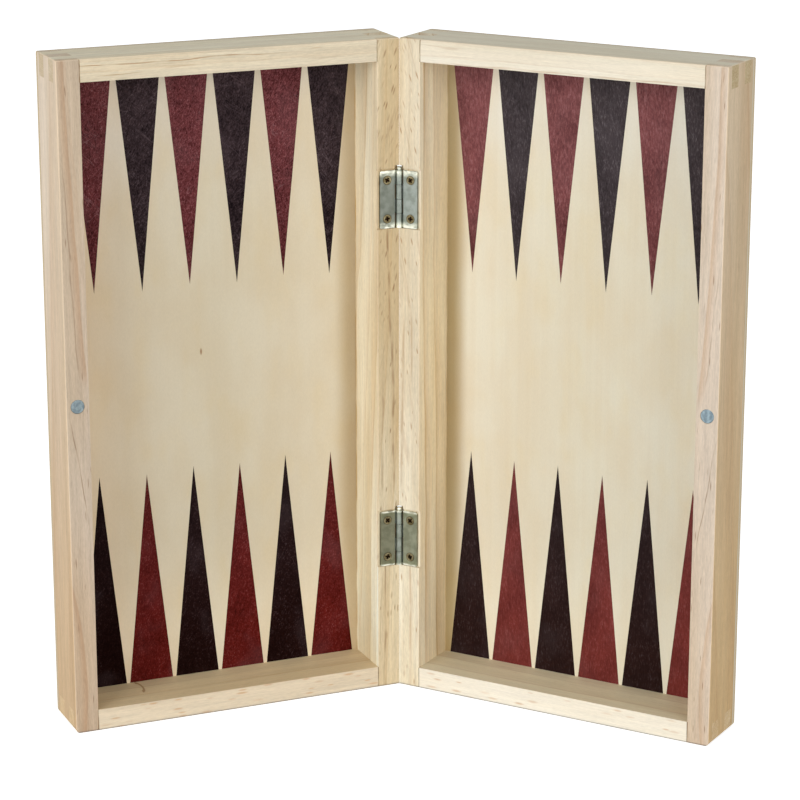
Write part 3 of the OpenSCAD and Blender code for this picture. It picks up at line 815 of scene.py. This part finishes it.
# Plywood panels: their tints paint light and shade on the floor
PLY = {
    "left": dict(seed=1.0, pale=srgb(198, 188, 166), warm=srgb(191, 176, 148), streaky=0.25,
                 low_x_tint=(1.10, 1.08, 1.07), high_x_tint=(1.08, 1.04, 1.02),
                 hinge_shadow_tint=(0.78, 0.71, 0.60), foot_tint=(1.24, 1.23, 1.22),
                 head_tint=(1.04, 1.07, 1.15), upper_tint=(1.09, 1.13, 1.22),
                 wall_tint=(1.10, 1.07, 1.05), spot=(81.8, 156.0)),
    "right": dict(seed=2.0, pale=srgb(208, 201, 181), warm=srgb(203, 189, 162), streaky=0.6,
                  low_x_tint=(1.07, 1.06, 1.07), high_x_tint=(1.04, 1.06, 1.10),
                  hinge_shadow_tint=(0.61, 0.515, 0.345), foot_tint=(1.17, 1.18, 1.18),
                  head_tint=(1.02, 1.05, 1.13)),
}
# Stains: colour at the bottom of the tray, colour at its top with a painted sheen, and the specks' colour
RED = {"left": (srgb(88, 25, 21), srgb(97, 52, 55), srgb(134, 96, 100)),
       "right": (srgb(107, 47, 43), srgb(115, 71, 73), srgb(148, 114, 116))}
DARK = {"left": (srgb(28, 13, 11), srgb(52, 42, 45), srgb(94, 80, 84)),
        "right": (srgb(40, 25, 23), srgb(63, 57, 60), srgb(108, 100, 104))}
GRAIN = {"left": dict(streaky=0.1, rough=1.0), "right": dict(streaky=0.8, rough=0.6)}
for number, side in enumerate(SIDES):
    sand(NODES[side + "_floor_panel"], SANDED[side], split=True)
    dress(side + "_floor_panel", plywood("plywood_" + side, side, **PLY[side]))
    dress(side + "_red_points", stain("red_stain_" + side, side, 3.0 + number, *RED[side], **GRAIN[side]))
    dark = stain("dark_stain_" + side, side, 5.0 + number, *DARK[side], **GRAIN[side])
    dress(side + "_dark_points", dark)
    dress(side + "_dark_squares", dark)

# Hinges: factors on the steel of each barrel with its pin, and factors on the steel of each piece,
# partly its own tone and partly the painted reflection that each piece shows; and how far the
# painted highlight reaches from its ends
BARREL_TINT = {"upper": (1.0, 1.03, 1.0), "lower": (1.05, 1.07, 1.0)}
STEEL = {
    ("upper", "left_leaf"): ((0.66, 0.66, 0.60), 3.2),
    ("upper", "right_leaf"): ((1.05, 1.09, 1.06), 3.4),
    ("upper", "pin"): (BARREL_TINT["upper"], 1.2),
    ("lower", "left_leaf"): ((0.70, 0.65, 0.47), 1.0),
    ("lower", "right_leaf"): ((0.97, 0.94, 0.72), 1.2),
    ("lower", "pin"): (BARREL_TINT["lower"], 1.2),
}
# Factors on the nickel of each magnet, which paint the light and reflection that each one shows
MAGNET_LIGHT_TINT = {"left": (0.98, 0.90, 0.80), "right": (1.15, 1.10, 1.02)}
for (hinge, piece), (tint, highlight_reach) in STEEL.items():
    node = hinge + "_hinge_" + piece
    clean_faces(NODES[node])
    round_edges(NODES[node], HINGE_ROUND, 2)
    dress(node, steel(hinge, piece, tint, highlight_reach))
for side in SIDES:
    dress(side + "_hinge_screws", brass(side))
    clean_faces(NODES[side + "_magnet"])
    round_edges(NODES[side + "_magnet"], MAGNET_ROUND, 3)
    nickel, shade = metal("nickel_" + side, side, 3.0, srgb(126, 143, 154), srgb(92, 108, 120),
                          1.6 * MM, 0.45)
    nickel.feed(nickel.shader.inputs["Base Color"], nickel.tint(shade, MAGNET_LIGHT_TINT[side]))
    dress(side + "_magnet", nickel.material)


# Lamps: the point that they look at, their size, and the place, power and colour of each
LAMP_AIM = Vector((0.0, 0.0, 0.14))
LAMP_SIZE = 1.4
LAMPS = {
    "key": ((-1.4, -2.0, 0.8), 36.0, (1.0, 0.985, 0.96)),
    "fill": ((1.5, -2.0, 0.6), 24.0, (1.0, 0.99, 0.97)),
}

# Surround: its light from level and from above, the power of each, the factor on it from in front
# and from behind, and the paper under the box with its own glow and half its width in metres
WHITE = (1.0, 1.0, 1.0, 1.0)
WARM_LIGHT = (1.0, 0.99, 0.96, 1.0)
COOL_LIGHT = (0.86, 0.94, 1.0, 1.0)
UP_POWER = (0.48, 0.45)
BACK_POWER = (1.0, 1.75)
PAPER = (0.90, 0.90, 0.90, 1.0)
PAPER_GLOW = 0.66
FLOOR_HALF = 6.0


def camera():
    lens = bpy.data.cameras.new("camera")
    lens.sensor_width = SENSOR_WIDTH
    lens.lens = CAMERA_LENS
    lens.clip_start = 0.05
    lens.clip_end = 60
    made = bpy.data.objects.new("camera", lens)
    bpy.context.scene.collection.objects.link(made)
    made.location = CAMERA_PLACE
    made.rotation_euler = (math.pi / 2 + CAMERA_PITCH, 0, CAMERA_YAW)
    bpy.context.scene.camera = made


def lamp(name, place, power, colour):
    light = bpy.data.lights.new(name, "AREA")
    light.shape = "RECTANGLE"
    light.size = LAMP_SIZE
    light.size_y = LAMP_SIZE
    light.energy = power
    light.color = colour
    made = bpy.data.objects.new(name, light)
    bpy.context.scene.collection.objects.link(made)
    made.location = place
    made.rotation_euler = (LAMP_AIM - Vector(place)).to_track_quat("-Z", "Y").to_euler()


def seen_directly(graph):
    """1 for what the camera sees, straight or in a polished or clear surface."""
    path = graph.tree.nodes.new("ShaderNodeLightPath").outputs
    seen = graph.math("MAXIMUM", path["Is Camera Ray"], path["Is Glossy Ray"])
    return graph.math("MAXIMUM", seen, path["Is Transmission Ray"])


def backdrop():
    """A white surround that lights the box softly, cooler from above and more from behind."""
    world = bpy.data.worlds.new("studio")
    bpy.context.scene.world = world
    world.use_nodes = True
    world.node_tree.nodes.clear()
    graph = Graph(world.node_tree)
    direction = graph.tree.nodes.new("ShaderNodeTexCoord").outputs["Generated"]
    _, back, up = graph.parts(direction)
    height = graph.ramp(up, 0.0, 0.9)
    tone = graph.mix(height, WARM_LIGHT, COOL_LIGHT)
    power = graph.times(graph.ramp(height, 0.0, 1.0, *UP_POWER), graph.ramp(back, 0.1, 0.8, *BACK_POWER))
    ambient = graph.node("ShaderNodeBackground", {0: tone, 1: power})
    white = graph.node("ShaderNodeBackground", {0: WHITE, 1: 1.0})
    mixed = graph.node("ShaderNodeMixShader", {0: seen_directly(graph), 1: ambient, 2: white})
    out = world.node_tree.nodes.new("ShaderNodeOutputWorld")
    world.node_tree.links.new(mixed, out.inputs[0])


def floor():
    """White paper under the box, a little lit of its own where the camera sees it."""
    mesh = bpy.data.meshes.new("floor")
    half = FLOOR_HALF
    corners = [(-half, -half, 0), (half, -half, 0), (half, half, 0), (-half, half, 0)]
    mesh.from_pydata(corners, [], [(0, 1, 2, 3)])
    made = bpy.data.objects.new("floor", mesh)
    bpy.context.scene.collection.objects.link(made)
    paper = bpy.data.materials.new("white_paper")
    paper.use_nodes = True
    paper.node_tree.nodes.clear()
    graph = Graph(paper.node_tree)
    diffuse = graph.node("ShaderNodeBsdfDiffuse", {0: PAPER})
    glow = graph.node("ShaderNodeEmission", {0: WHITE, 1: graph.times(seen_directly(graph), PAPER_GLOW)})
    added = graph.node("ShaderNodeAddShader", {0: diffuse, 1: glow})
    out = paper.node_tree.nodes.new("ShaderNodeOutputMaterial")
    paper.node_tree.links.new(added, out.inputs[0])
    mesh.materials.append(paper)


camera()
backdrop()
floor()
for name, look in LAMPS.items():
    lamp(name, *look)
bpy.context.scene.view_settings.view_transform = "Standard"
